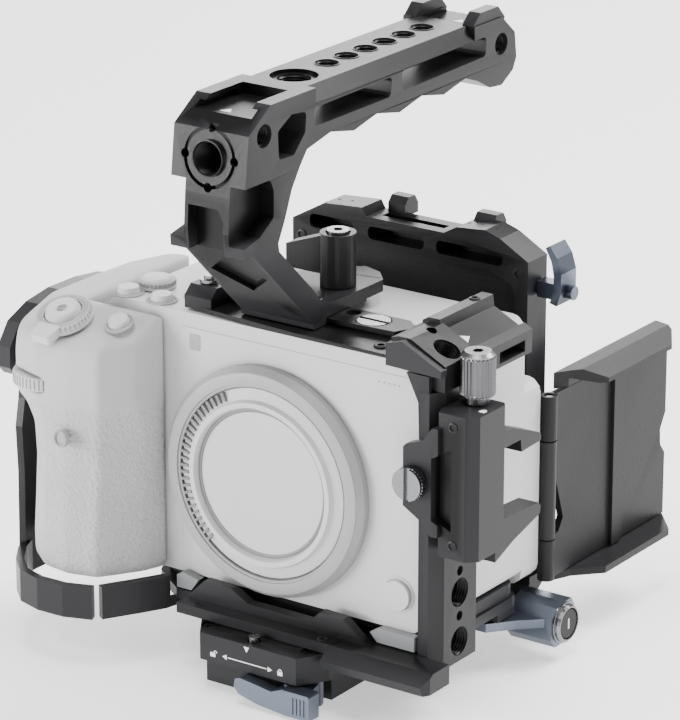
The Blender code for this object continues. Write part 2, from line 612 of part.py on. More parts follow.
def cable_clamp():
    """The cable clamp on the side plate: body with front flange, screw, knob and two jaws."""
    body = prism("cable_clamp_body", "XY", [(56.4, -1), (57.6, -4), (65.8, -4), (68.8, -1.4), (68.8, 10.5),
                                            (67.6, 12), (56.4, 12)], 27.4, 67.9)
    flange = prism("clamp_flange", "XZ", [(47.3, 40), (47.3, 56.6), (48.2, 57.6), (53.4, 59.4), (56.4, 63.5),
                                          (58.2, 63.5), (58.2, 33), (56, 33), (53.6, 36.2)], -5.4, -2.8)
    join(body, flange)
    recess = prism("clamp_recess", "XZ", [(56.2, 37.5), (56.2, 55), (61.6, 58.0), (61.6, 35.0)], -7, -2.2)
    slot = prism("jaw_channel", "XY", [(58.4, 10.0), (65.6, 10.0), (65.6, 14), (58.4, 14)], 30, 62)
    cut(body, recess, slot, rod_z("knob_bore", *CLAMP_KNOB_AXIS, 2.0, 55, 70, 18))
    finish(body, "black_anodised")
    screw = rod_y("clamp_thumbscrew", 50.7, 47.5, 4.5, -9.0, -5.7, 32)
    cut(screw, box("thumbscrew_slot", (49.9, -10, 40), (51.5, -8.1, 55)))
    finish(screw, "steel", (50.7, -5.7, 47.5))
    knob = turned("clamp_knob", "Z", (*CLAMP_KNOB_AXIS, 0),
                  [(0, 82.5), (3.6, 82.5), (4.5, 81.6), (4.5, 70.4), (3.2, 70), (3.2, 68.2), (1.7, 68.2),
                   (1.7, 57), (0, 57)], 32)
    cut(knob, rod_z("knob_socket", *CLAMP_KNOB_AXIS, 1.5, 80.5, 84, 6))
    finish(knob, "steel", (*CLAMP_KNOB_AXIS, 68.2))
    upper = prism("clamp_jaw_upper", "YZ", [(12.3, 53.2), (12.3, 58.6), (21, 57.4), (32.8, 52.8), (34.4, 51.4),
                                            (34.2, 50.0), (24.6, 49.6), (24.2, 53.2)], 58.8, 65.2)
    finish(upper, "black_anodised", (62, 12.3, 54))
    lower = prism("clamp_jaw_lower", "YZ", [(12.3, 33.4), (33.6, 32.2), (34.8, 31.0), (34.4, 28.8),
                                            (21, 25.2), (12.3, 21.8)], 58.8, 65.2)
    finish(lower, "black_anodised")


# ---------------------------------------------------------------- base

def quick_release_base():
    """The quick-release base: top plate, clamp body, lever with its pin, and small fittings."""
    plate = prism("qr_plate", "XY", [(-10.8, -18.1), (21.5, -18.1), (26.9, -9.9), (26.9, 40, 4),
                                     (-16.3, 40, 4), (-16.3, -9.9)], -14.2, PLATE_BOTTOM - GAP)
    cut(plate, rod_z("qr_hole_left", -11.4, -12.2, 2.6, -12, 0, 20),
        rod_z("qr_hole_right", 21.7, -11.7, 2.6, -12, 0, 20),
        rod_z("qr_pin_seat", 5, -14.4, 1.9, -9, 0, 18),
        rod_z("lever_pin_seat", *QR_LEVER_AXIS, 1.8, -16, -12.6, 18))
    finish(plate, "black_anodised")
    guide = rod_z("qr_guide_pin", 5, -14.4, 1.6, -8.7, -4.9, 18)
    finish(guide, "steel")
    body = prism("qr_clamp_body", "XY", [(-12, -13.5), (12, -13.5), (16, -5), (24, -5), (24, 50, 3),
                                         (-12, 50, 3)], BASE_BOTTOM, -14.5)
    cut(body, rod_z("tripod_hole_front", 6, 2, TAP_QUARTER, -24, -17, 20),
        rod_z("tripod_hole_rear", 6, 38, TAP_THREE_EIGHTHS, -24, -17, 24))
    finish(body, "black_anodised")
    x, y = QR_LEVER_AXIS
    paddle = prism("qr_lever", "XZ", [(3, -17.8), (3.4, -15.4), (5, -14.8), (10, -15.4), (15.5, -16.2),
                                      (19, -14.7), (27.6, -14.7), (28, -15.2), (28, -22), (20, -22), (11, -21.2),
                                      (4.6, -19.6)], -21.4, -16.6)
    hub = rod_z("qr_lever_hub", x, y, 4.2, -21.8, -14.8, 24)
    web = prism("qr_lever_web", "XY", [(17, -17.4), (26, -17.4), (24.2, -10), (17, -10)], -21.6, -15)
    join(paddle, web, hub)
    cut(paddle, rod_z("qr_lever_bore", x, y, 1.9, -24, -12, 18))
    finish(paddle, "blue_anodised", (x, y, -18))
    pin = rod_z("qr_lever_pin", x, y, 1.5, -22.0, -13.0, 18)
    finish(pin, "steel")


# ---------------------------------------------------------------- back plate

BACK_TOP = [(42.4, 88.2), (33.2, 93.4), (28.2, 95), (18.9, 94.2), (14.6, 91.8), (-11.6, 91.8), (-13, 94.2),
            (-25.9, 93.3), (-36.9, 87.1)]
BACK_FRONT, BACK_REAR = 62.6, 72.4


def back_plate():
    """The tilting back plate: machined frame with its hinge lug, and the smooth inner panel."""
    frame = prism("back_frame", "XZ", [(-36.9, -5), (42.4, -5)] + BACK_TOP, BACK_FRONT, BACK_REAR)
    cut(frame, prism("back_window", "XZ", [(-32.6, 0, 3), (38.2, 0, 3), (38.2, 80.4, 3), (30, 83.4),
                                           (-24, 83.4), (-32.6, 79, 3)], 60, 75))
    slots = ((-31, -16, 85.4, 89.4), (-11, 8, 85.4, 89.2), (12, 34, 85.4, 89.2))
    for number, (low, high, floor, roof) in enumerate(slots):
        cut(frame, prism(f"back_slot_{number}", "XZ", [(low, floor, 1.4), (high, floor, 1.4), (high, roof, 1.4),
                                                       (low, roof, 1.4)], 60, 69.5, 2))
    cut(frame, box("back_top_slot", (-8.5, 66, 90), (12.5, 68.8, 97)))
    for low, high in ((-9.4, -3.6), (19.4, 26)):
        join(frame, prism("back_bump", "YZ", [(70.4, 91), (70.4, 94.4), (72.2, 96.4), (75.4, 96.4), (77, 94),
                                              (77, 91)], low, high))
    lug = prism("tilt_lug", "YZ", [(54.4, -10.8), (54.4, -14.4), (56, -16.2), (59, -16.2), (62.2, -13),
                                   (BACK_REAR, -6), (BACK_REAR, -4.5), (BACK_FRONT, -4.5), (BACK_FRONT, -6.6),
                                   (58, -9.4)], 28, 44.6)
    join(frame, lug)
    cut(frame, rod_x("tilt_bore", *TILT_AXIS, 1.9, 26, 46, 18),
        rod_x("latch_bore", 68.4, 80.0, 2.3, 27, 44, 18))
    finish(frame, "black_anodised", (36, *TILT_AXIS))
    panel = prism("back_panel", "XZ", [(-32.2, 0.4, 3), (37.8, 0.4, 3), (37.8, 80, 3), (29.8, 83),
                                       (-23.8, 83), (-32.2, 78.6, 3)], 65.4, 70.2)
    cut(panel, rod_x("latch_pocket", 68.4, 80.0, 2.6, 26, 40, 18))
    finish(panel, "black_plastic", (36, *TILT_AXIS))


def latch():
    """The back plate's latch rod with its curved thumb tab."""
    rod_part = rod_x("latch_slide", 68.4, 80.0, 2.0, 30, 54, 20)
    bar = prism("latch_bar", "XZ", [(43.2, 77.6), (43.2, 82.2), (49, 82.2), (50, 77.6)], 66.2, 70.6)
    curve = [(48.4, 77.2), (49.6, 81), (49.6, 85), (48.8, 89), (46.8, 92.8), (48.2, 93.6), (50.6, 90.4),
             (52.0, 86), (52.0, 80.5), (50.6, 76.6)]
    tab = prism("latch_tab", "XZ", curve, 64.4, 72.2)
    join(rod_part, bar, tab)
    return finish(rod_part, "blue_anodised", (44, 68.4, 80))


def tilt_hinge():
    """The blue hinge housing under the camera's corner, its pin and its release button."""
    y, z = TILT_AXIS
    housing = prism("tilt_housing", "YZ", [(50.4, -16), (52.6, -18.6), (59, -18.6), (62.6, -15), (62.6, -9),
                                           (60.8, -6.3), (57, -6.3), (53.8, -7.4), (50.4, -9.8)], 45.0, 59.6)
    arm = prism("tilt_arm", "XY", [(38.5, 38), (46, 38), (51.5, 45), (58.4, 51.4), (58.4, 54), (46, 54),
                                   (45.2, 51), (38.5, 51)], -12.4, -9.8)
    foot = box("tilt_foot", (27.2, 38.3, -12.4), (40, 46, -9.8))
    join(housing, arm, foot)
    cut(housing, rod_x("pin_seat", y, z, 1.9, 44, 51, 18), rod_x("button_well", y, z, 4.6, 56, 61, 28))
    finish(housing, "blue_anodised")
    pin = rod_x("tilt_pin", y, z, 1.6, 28.3, 50.6, 18)
    finish(pin, "steel")
    ring = turned("button_ring", "X", (0, y, z), [(5.6, 59.9), (5.6, 60.8), (5.0, 61.4), (4.6, 61.4),
                                                  (4.6, 59.9)], 32)
    finish(ring, "steel")
    button = rod_x("release_button", y, z, 4.2, 57.8, 61.2, 28)
    finish(button, "black_plastic", (60, y, z))
    block = box("tilt_mount_block", (38.8, 40, -9.5), (48.6, 49, PLATE_BOTTOM - GAP))
    finish(block, "black_anodised")


# ---------------------------------------------------------------- hood

def hood():
    """The side screen hood: panel with hinge barrels, stiffening rib and two lips."""
    panel = prism("hood_panel", "YZ", [(64.6, -3.2), (64.6, 9.4), (66.5, 9.8), (68.8, 13.5), (64.8, 25.5),
                                       (64.6, 38), (64.6, 51.6), (124.3, 51.6), (124.3, 28.3), (121.5, 23.5),
                                       (121.8, 18.8), (124.3, 15.7), (124.3, -3.2)], 49.4, 51.4)
    for low, high in ((-3.2, 8.8), (38.6, 51.6)):
        join(panel, rod_z("barrel", *HOOD_AXIS, 2.4, low, high, 24),
             box("leaf", (49.4, 61.9, low), (51.4, 65.4, high)))
    join(panel, box("hood_rib", (51.2, 93.5, -3.0), (52.6, 98.8, 51.4)))
    cut(panel, rod_z("barrel_bore", *HOOD_AXIS, 1.5, -6, 55, 18))
    finish(panel, "black_plastic", (*HOOD_AXIS, 20))
    roof = prism("hood_top_lip", "XY", [(49.2, 66), (52.4, 71), (59, 79.4), (59, 113.8), (55.5, 119.4),
                                        (49.2, 121)], 51.9, 56.6)
    cut(roof, prism("lip_slope", "XZ", [(53.5, 57), (60, 52.6), (60, 58)], 60, 125),
        prism("lip_under", "XZ", [(51.7, 51), (51.7, 54.4), (58.2, 51.6), (58.2, 51)], 60, 125))
    finish(roof, "black_plastic", (*HOOD_AXIS, 20))
    floor = prism("hood_bottom_lip", "XY", [(49.2, 66), (52, 72.5), (59, 80), (59, 115), (51.2, 124.2),
                                            (49.2, 124.4)], -5.6, -3.5)
    finish(floor, "black_plastic", (*HOOD_AXIS, 20))


def hood_hinge():
    """The hood's hinge block beside the camera's screen, and its pin."""
    block = rod_z("hood_hinge_block", *HOOD_AXIS, 2.4, 9.2, 38.2, 24)
    join(block, box("hinge_arm", (43.4, 59.5, 9.2), (50.4, 62.2, 38.2)))
    cut(block, rod_z("hinge_bore", *HOOD_AXIS, 1.5, 5, 45, 18))
    finish(block, "black_anodised")
    pin = rod_z("hood_hinge_pin", *HOOD_AXIS, 1.2, -2.8, 51.2, 18)
    finish(pin, "steel")


def build():
    """Make every piece of the rig."""
    camera_body()
    camera_grip()
    camera_screen()
    lens_parts()
    camera_controls()
    base_plate()
    side_plate()
    top_plate()
    rail_fittings()
    corner_shoe()
    grip_guards()
    camera_pads()
    handle()
    handle_clamp()
    cable_clamp()
    quick_release_base()
    back_plate()
    latch()
    tilt_hinge()
    hood()
    hood_hinge()


build()
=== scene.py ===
"""Looks of the cinema camera rig: materials, fine pieces, camera, floor and light.

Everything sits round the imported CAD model. The fine pieces place themselves on
the camera's own datum in millimetres, as the part's source does, through place().
"""
import json
import math

import bmesh
import bpy
from mathutils import Matrix, Vector


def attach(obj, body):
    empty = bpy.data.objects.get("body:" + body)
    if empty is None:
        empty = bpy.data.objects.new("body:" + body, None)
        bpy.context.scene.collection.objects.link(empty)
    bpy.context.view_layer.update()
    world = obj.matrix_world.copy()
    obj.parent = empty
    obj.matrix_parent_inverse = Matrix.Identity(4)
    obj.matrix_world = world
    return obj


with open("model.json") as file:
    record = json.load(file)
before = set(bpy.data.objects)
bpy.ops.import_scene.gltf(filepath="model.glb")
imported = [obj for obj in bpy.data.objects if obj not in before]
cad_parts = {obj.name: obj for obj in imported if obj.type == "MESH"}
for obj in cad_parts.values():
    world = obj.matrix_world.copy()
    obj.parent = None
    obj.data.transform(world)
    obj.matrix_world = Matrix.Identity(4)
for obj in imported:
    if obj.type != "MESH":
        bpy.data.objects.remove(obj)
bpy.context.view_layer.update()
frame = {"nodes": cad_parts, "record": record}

MM = 0.001
DATUM = Vector((6.0, 18.25, -22.5))   # the row's origin on the camera's datum
LENS_HEIGHT = 34.9
HANDLE_MIDDLE = 0.5
TILT_AXIS = (57.0, -12.5)


def place(x, y, z):
    """Turn a point on the camera's datum, in millimetres, into the row's metres."""
    return (Vector((x, y, z)) - DATUM) * MM


# ---------------------------------------------------------------- camera and light

VIEW_AZIMUTH = math.radians(35.0)
VIEW_ELEVATION = math.radians(19.45)
VIEW_PLACE = (594.86, -816.23, 426.09)
VIEW_LENS = 199.0


def aim(obj, target):
    """Turn a light or camera so that it looks at a point."""
    obj.rotation_euler = (Vector(target) - obj.location).to_track_quat("-Z", "Y").to_euler()


def add_camera():
    """The camera at the reference viewing angle."""
    data = bpy.data.cameras.new("view")
    data.lens = VIEW_LENS
    data.sensor_width = 36.0
    data.clip_start = 0.01
    camera = bpy.data.objects.new("view", data)
    bpy.context.scene.collection.objects.link(camera)
    camera.location = place(*VIEW_PLACE)
    camera.rotation_euler = (math.pi / 2 - VIEW_ELEVATION, 0.0, VIEW_AZIMUTH)
    bpy.context.scene.camera = camera


def area_light(name, location, target, size, power, size_y=None):
    """A soft rectangular light that looks at a point."""
    data = bpy.data.lights.new(name, "AREA")
    data.shape = "RECTANGLE"
    data.size = size
    data.size_y = size_y or size
    data.energy = power
    light = bpy.data.objects.new(name, data)
    bpy.context.scene.collection.objects.link(light)
    light.location = location
    aim(light, target)


def add_studio():
    """A plain pale floor, a pale surround and large soft lights."""
    mesh = bpy.data.meshes.new("floor")
    form = bmesh.new()
    bmesh.ops.create_grid(form, x_segments=1, y_segments=1, size=4.0)
    form.to_mesh(mesh)
    form.free()
    floor = bpy.data.objects.new("floor", mesh)
    bpy.context.scene.collection.objects.link(floor)
    floor.location = (0, 0, -0.0004)
    paint = bpy.data.materials.new("floor_paint")
    paint.use_nodes = True
    shader = paint.node_tree.nodes["Principled BSDF"]
    shader.inputs["Base Color"].default_value = (0.93, 0.93, 0.93, 1)
    shader.inputs["Roughness"].default_value = 0.9
    shader.inputs["Emission Color"].default_value = (1, 1, 1, 1)
    shader.inputs["Emission Strength"].default_value = 0.72
    mesh.materials.append(paint)
    world = bpy.data.worlds.new("surround")
    bpy.context.scene.world = world
    world.use_nodes = True
    backdrop = world.node_tree.nodes["Background"]
    backdrop.inputs["Color"].default_value = (1, 1, 1, 1)
    backdrop.inputs["Strength"].default_value = 0.38
    centre = (0, 0, 0.07)
    area_light("front_left", (-0.95, -0.85, 0.42), centre, 0.35, 13, 0.8)
    area_light("back_top", (0.35, 0.8, 0.9), centre, 0.6, 22, 0.4)
    area_light("right_side", (1.1, -0.1, 0.5), centre, 0.3, 3, 0.6)
    area_light("low_left", (-0.85, -1.2, 0.12), centre, 0.5, 13, 0.2)
    area_light("back_left", (-0.85, 1.15, 0.5), centre, 0.7, 9, 0.6)
    area_light("top", (0, -0.1, 1.3), centre, 0.7, 17)


# ---------------------------------------------------------------- materials

def node(tree, kind, **inputs):
    """Add a shader node and set its named inputs."""
    made = tree.nodes.new(kind)
    for name, value in inputs.items():
        made.inputs[name.replace("_", " ")].default_value = value
    return made


def new_material(name, base, roughness, metallic=0.0, grain=0.0, grain_scale=900.0, mottle=0.08,
                 rough_spread=0.06, painted_edge_highlight=0.0, painted_highlight_tint=(0.3, 0.3, 0.31)):
    """A Principled material with a noise grain, mottled colour and an optional painted edge highlight, a
    lighter colour on sharp edges.
    """
    made = bpy.data.materials.new(name)
    made.use_nodes = True
    tree = made.node_tree
    shader = tree.nodes["Principled BSDF"]
    shader.inputs["Metallic"].default_value = metallic
    place_node = tree.nodes.new("ShaderNodeTexCoord")
    broad = node(tree, "ShaderNodeTexNoise", Scale=60.0, Detail=4.0)
    tree.links.new(place_node.outputs["Object"], broad.inputs["Vector"])
    fine = node(tree, "ShaderNodeTexNoise", Scale=grain_scale, Detail=3.0)
    tree.links.new(place_node.outputs["Object"], fine.inputs["Vector"])
    tone = tree.nodes.new("ShaderNodeMapRange")
    tone.inputs["To Min"].default_value = 1.0 - mottle
    tone.inputs["To Max"].default_value = 1.0 + mottle
    tree.links.new(broad.outputs["Fac"], tone.inputs["Value"])
    tint = tree.nodes.new("ShaderNodeVectorMath")
    tint.operation = "SCALE"
    tint.inputs[0].default_value = base
    tree.links.new(tone.outputs["Result"], tint.inputs["Scale"])
    colour = tint.outputs["Vector"]
    # painted edge highlight: Pointiness mixes the colour towards a lighter tint on sharp edges
    if painted_edge_highlight:
        shape = tree.nodes.new("ShaderNodeNewGeometry")
        edge = tree.nodes.new("ShaderNodeMapRange")
        edge.inputs["From Min"].default_value = 0.53
        edge.inputs["From Max"].default_value = 0.60
        edge.inputs["To Max"].default_value = painted_edge_highlight
        tree.links.new(shape.outputs["Pointiness"], edge.inputs["Value"])
        blend = tree.nodes.new("ShaderNodeMix")
        blend.data_type = "RGBA"
        tree.links.new(edge.outputs["Result"], blend.inputs["Factor"])
        tree.links.new(colour, blend.inputs["A"])
        blend.inputs["B"].default_value = (*painted_highlight_tint, 1)
        colour = blend.outputs["Result"]
    tree.links.new(colour, shader.inputs["Base Color"])
    rough = tree.nodes.new("ShaderNodeMapRange")
    rough.inputs["To Min"].default_value = roughness - rough_spread
    rough.inputs["To Max"].default_value = roughness + rough_spread
    tree.links.new(fine.outputs["Fac"], rough.inputs["Value"])
    tree.links.new(rough.outputs["Result"], shader.inputs["Roughness"])
    if grain:
        bump = node(tree, "ShaderNodeBump", Strength=grain, Distance=0.0002)
        tree.links.new(fine.outputs["Fac"], bump.inputs["Height"])
        tree.links.new(bump.outputs["Normal"], shader.inputs["Normal"])
    return made


GRAIN_TOP = (50.0 + 22.5) * MM


def leather_material(name, base):
    """The pale grained covering of the hand grip: small rounded cells with fine noise."""
    made = new_material(name, base, 0.62, grain=0.0)
    tree = made.node_tree
    shader = tree.nodes["Principled BSDF"]
    coords = tree.nodes.new("ShaderNodeTexCoord")
    cells = node(tree, "ShaderNodeTexVoronoi", Scale=1000.0)
    cells.feature = "SMOOTH_F1"
    tree.links.new(coords.outputs["Object"], cells.inputs["Vector"])
    fine = node(tree, "ShaderNodeTexNoise", Scale=1500.0, Detail=3.0)
    tree.links.new(coords.outputs["Object"], fine.inputs["Vector"])
    total = tree.nodes.new("ShaderNodeMath")
    total.operation = "MULTIPLY_ADD"
    total.inputs[1].default_value = -1.0
    tree.links.new(cells.outputs["Distance"], total.inputs[0])
    tree.links.new(fine.outputs["Fac"], total.inputs[2])
    bump = node(tree, "ShaderNodeBump", Distance=0.00045)
    height = tree.nodes.new("ShaderNodeSeparateXYZ")
    tree.links.new(coords.outputs["Object"], height.inputs["Vector"])
    fade = tree.nodes.new("ShaderNodeMapRange")     # the head above the hand's crease is smooth
    fade.inputs["From Min"].default_value = GRAIN_TOP
    fade.inputs["From Max"].default_value = GRAIN_TOP + 2 * MM
    fade.inputs["To Min"].default_value = 0.9
    fade.inputs["To Max"].default_value = 0.03
    tree.links.new(height.outputs["Z"], fade.inputs["Value"])
    tree.links.new(fade.outputs["Result"], bump.inputs["Strength"])
    tree.links.new(total.outputs["Value"], bump.inputs["Height"])
    tree.links.new(bump.outputs["Normal"], shader.inputs["Normal"])
    return made


# where given, the last two numbers set a painted edge highlight: its strength and its lighter tint
BLACK = new_material("black_anodised", (0.0055, 0.0055, 0.006), 0.33, 0.0, 0.10, 1400, 0.18, 0.07,
                     0.30, (0.07, 0.07, 0.075))
BLUE = new_material("blue_anodised", (0.050, 0.060, 0.082), 0.34, 0.9, 0.08, 1400, 0.06, 0.05,
                    0.5, (0.22, 0.25, 0.30))
STEEL = new_material("steel", (0.20, 0.203, 0.21), 0.27, 1.0, 0.05, 1200, 0.05, 0.08)
KNURL = new_material("knurled_steel", (0.12, 0.12, 0.125), 0.34, 1.0, 0.06, 1200, 0.08, 0.08,
                     0.6, (0.35, 0.35, 0.36))
SHELL = new_material("camera_plastic", (0.55, 0.55, 0.55), 0.48, 0.0, 0.06, 1600, 0.015, 0.04)
SHELL_DARK = new_material("camera_ring", (0.31, 0.31, 0.31), 0.45, 0.0, 0.06, 1600, 0.02, 0.04)
GRIP = leather_material("camera_grip_cover", (0.45, 0.45, 0.45))
PLASTIC = new_material("black_plastic", (0.007, 0.007, 0.0075), 0.42, 0.0, 0.35, 1500, 0.12, 0.06,
                       0.2, (0.08, 0.08, 0.085))
PAD = new_material("pad_rubber", (0.20, 0.205, 0.21), 0.45, 0.0, 0.08, 1100, 0.05, 0.05)
PRINT = new_material("white_print", (0.82, 0.82, 0.82), 0.6, 0.0, 0.05, 1200, 0.03, 0.05)
DARK = new_material("dark_recess", (0.006, 0.006, 0.006), 0.6, 0.0, 0.05, 1200, 0.1, 0.05)

RING_DARK = new_material("camera_band", (0.17, 0.17, 0.17), 0.42, 0.0, 0.06, 1600, 0.02, 0.04)
for low_sheen in (BLACK, PLASTIC):
    low_sheen.node_tree.nodes["Principled BSDF"].inputs["Specular IOR Level"].default_value = 0.14

SLOT_MATERIAL = {
    "black_anodised": BLACK, "blue_anodised": BLUE, "steel": STEEL, "camera_plastic": SHELL,
    "camera_rubber": GRIP, "black_plastic": PLASTIC, "pad_rubber": PAD,
}
NODE_SLOT = {entry["node"]: entry["material_slot"] for entry in frame["record"]["subparts"]}


def dress(obj, finish):
    """Put one material on an object."""
    obj.data.materials.clear()
    obj.data.materials.append(finish)


def fine_edges(obj, width, segments=2):
    """Clean a CAD node's facets and round its edges with modifiers only."""
    clean = obj.modifiers.new("clean", "DECIMATE")
    clean.decimate_type = "DISSOLVE"
    clean.angle_limit = math.radians(1.0)
    edge = obj.modifiers.new("edges", "BEVEL")
    edge.width = width * MM
    edge.segments = segments
    edge.limit_method = "ANGLE"
    edge.angle_limit = math.radians(32)
    edge.use_clamp_overlap = True
    edge.harden_normals = False
    smooth = obj.modifiers.new("normals", "WEIGHTED_NORMAL")
    smooth.keep_sharp = False
    smooth.weight = 60


EDGE_WIDTH = {
    "handle_frame": 0.45, "camera_body": 1.2, "camera_screen": 1.0, "cage_side_plate": 0.35,
    "corner_shoe": 0.35, "cable_clamp_body": 0.4, "back_frame": 0.45, "hood_top_lip": 0.4,
    "hood_bottom_lip": 0.4, "hood_panel": 0.3, "qr_plate": 0.45, "qr_lever": 0.5, "tilt_housing": 0.45,
    "latch_slide": 0.4, "grip_guard_top": 0.6, "grip_guard_lower": 0.35, "clamp_lever": 0.5,
    "cage_base_plate": 0.3, "cage_top_plate": 0.3,
}


def finish_cad_nodes():
    """Give each CAD node its material, rounded edges and smooth shading."""
    for name, obj in frame["nodes"].items():
        dress(obj, SLOT_MATERIAL[NODE_SLOT[name]])
        fine_edges(obj, EDGE_WIDTH.get(name, 0.2))
    dress(frame["nodes"]["lens_mount_ring"], SHELL_DARK)
    dress(frame["nodes"]["clamp_knob"], KNURL)


def soften_grip():
    """Melt the grip's sections together, the way a moulded hand grip is sculpted."""
    grip = frame["nodes"]["camera_grip"]
    for modifier in list(grip.modifiers):
        grip.modifiers.remove(modifier)
    skin = grip.modifiers.new("skin", "REMESH")
    skin.mode = "VOXEL"
    skin.voxel_size = 0.7 * MM
    skin.use_smooth_shade = True
    calm = grip.modifiers.new("calm", "SMOOTH")
    calm.factor = 0.6
    calm.iterations = 14


# ---------------------------------------------------------------- fine pieces

def put(name, form, finish, body, smooth=True):
    """Turn a bmesh into a piece that rides on one body."""
    bmesh.ops.recalc_face_normals(form, faces=form.faces)
    mesh = bpy.data.meshes.new(name)
    form.to_mesh(mesh)
    form.free()
    for face in mesh.polygons:
        face.use_smooth = smooth
    obj = bpy.data.objects.new(name, mesh)
    bpy.context.scene.collection.objects.link(obj)
    dress(obj, finish)
    if smooth:
        edge = obj.modifiers.new("sharp", "EDGE_SPLIT")
        edge.split_angle = math.radians(38)
    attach(obj, body)
    return obj


def frame_of(at, normal, up=(0, 0, 1)):
    """A local frame: x across, y up the surface, z out of it, in millimetres."""
    out = Vector(normal).normalized()
    across = Vector(up).cross(out)
    if across.length < 1e-6:
        across = Vector((1, 0, 0))
    across.normalize()
    turn = Matrix((across, out.cross(across), out)).transposed().to_4x4()
    return Matrix.Translation(place(*at)) @ turn @ Matrix.Scale(MM, 4)


def radial(name, at, normal, rings, finish, body, sides=48, ends="capped"):
    """Loft rings about an axis; a ring is (radius, height), or "hex" or "teeth" goes before them.

    The ends are capped, or "looped" into a hoop, or left as a "cup" open at its mouth.
    """
    form = bmesh.new()
    local = frame_of(at, normal)
    loops = []
    for *kind, radius, height in rings:
        loop = []
        for step in range(sides):
            turn = math.tau * step / sides
            reach = radius
            if kind == ["hex"]:
                reach = radius / math.cos((turn + math.pi / 6) % (math.pi / 3) - math.pi / 6)
            elif kind == ["teeth"] and step % 2:
                reach = radius * 0.945
            point = Vector((reach * math.cos(turn), reach * math.sin(turn), height))
            loop.append(form.verts.new(local @ point))
        loops.append(loop)
    for low, high in zip(loops, loops[1:] + (loops[:1] if ends == "looped" else [])):
        for index in range(sides):
            after = (index + 1) % sides
            form.faces.new((low[index], low[after], high[after], high[index]))
    if ends == "capped":
        form.faces.new(loops[0])
    if ends != "looped":
        form.faces.new(loops[-1])
    return put(name, form, finish, body)


def thread(name, at, normal, radius, depth, body, pitch=0.7):
    """The cut thread that lines a tapped hole, from its mouth inwards, closed at the bottom."""
    rings = [(radius + 0.45, 0.06), (radius + 0.1, 0.10)]
    turns = int(depth / pitch)
    for index in range(turns):
        rings.append((radius - 0.02, -0.3 - index * pitch))
        rings.append((radius - 0.42, -0.3 - (index + 0.5) * pitch))
    rings.append((radius - 0.2, -0.3 - turns * pitch))
    return radial(name, at, normal, rings, BLACK, body, 40, ends="cup")


def hex_screw(name, at, normal, radius, body, finish=None, height=0.5):
    """A cap screw with a bevelled rim and a hexagonal socket."""
    rings = [(radius, -0.2), (radius, height * 0.6), (radius * 0.88, height),
             ("hex", radius * 0.52, height), ("hex", radius * 0.46, height - 0.2),
             ("hex", radius * 0.46, height - 0.9)]
    return radial(name, at, normal, rings, finish or BLACK, body, 36)


def flat(name, at, normal, outline, finish, body, thick=0.12, sink=0.05, up=(0, 0, 1)):
    """A thin plate or printed mark from a polygon drawn on a surface."""
    form = bmesh.new()
    local = frame_of(at, normal, up)
    low = [form.verts.new(local @ Vector((u, v, -sink))) for u, v in outline]
    high = [form.verts.new(local @ Vector((u, v, thick))) for u, v in outline]
    form.faces.new(low)
    form.faces.new(high)
    for index in range(len(outline)):
        after = (index + 1) % len(outline)
        form.faces.new((low[index], low[after], high[after], high[index]))
    return put(name, form, finish, body, False)


def circle(radius, steps):
    """Points round a circle on a surface."""
    turns = [math.tau * step / steps for step in range(steps)]
    return [(radius * math.cos(turn), radius * math.sin(turn)) for turn in turns]


def arc_strip(radius, width, start, stop, steps=18, centre=(0, 0)):
    """A curved strip on a surface, between two angles in degrees."""
    turns = [math.radians(start + (stop - start) * step / steps) for step in range(steps + 1)]

    def edge(reach):
        return [(centre[0] + reach * math.cos(a), centre[1] + reach * math.sin(a)) for a in turns]

    return edge(radius + width / 2) + edge(radius - width / 2)[::-1]


def padlock(name, at, normal, size, body, opened=False, up=(0, 0, 1)):
    """A plain lock pictogram: a filled body under a shackle."""
    half = size * 0.42
    flat(name + "_body", at, normal, [(-half, -size * 0.5), (half, -size * 0.5), (half, size * 0.1),
                                      (-half, size * 0.1)], PRINT, body, 0.06, 0.04, up)
    shift = half if opened else 0
    shackle = arc_strip(half * 0.62, size * 0.13, 0, 180, 10, (shift, size * 0.14))
    flat(name + "_shackle", at, normal, shackle, PRINT, body, 0.06, 0.04, up)


FRONT, REAR, UP, DOWN, RIGHT = (0, -1, 0), (0, 1, 0), (0, 0, 1), (0, 0, -1), (1, 0, 0)
HANDLE_TOP = 146.4                # a hair above the handle's top face
HANDLE_SIDE = 10.9                # from the handle's middle to its side threads, just inside the faces
QUARTER_TAP = 3.17                # radius of the thread in a 1/4 inch bore
SHOE_TILT = math.radians(27)
SHOE_SLOPE = (math.sin(SHOE_TILT), 0, math.cos(SHOE_TILT))
DECK_TILT = math.radians(22)      # the grip's sloped deck
DECK = (0, -math.sin(DECK_TILT), math.cos(DECK_TILT))
LEVER_CENTRE = (-59.4, -12.9, 72.6)
DECK_BUTTON = (-43.4, -9.3, 73.3)
QR_FRONT = -18.1                  # the front face of the quick-release plate
TRIANGLE = [(-1.7, -1.1), (1.7, -1.1), (0, 1.7)]


def above(point, height):
    """A point raised off the grip's sloped deck."""
    return tuple(Vector(point) + Vector(DECK) * height)


def slab(half_u, half_v):
    """The corners of a rectangle on a surface."""
    return [(-half_u, -half_v), (half_u, -half_v), (half_u, half_v), (-half_u, half_v)]



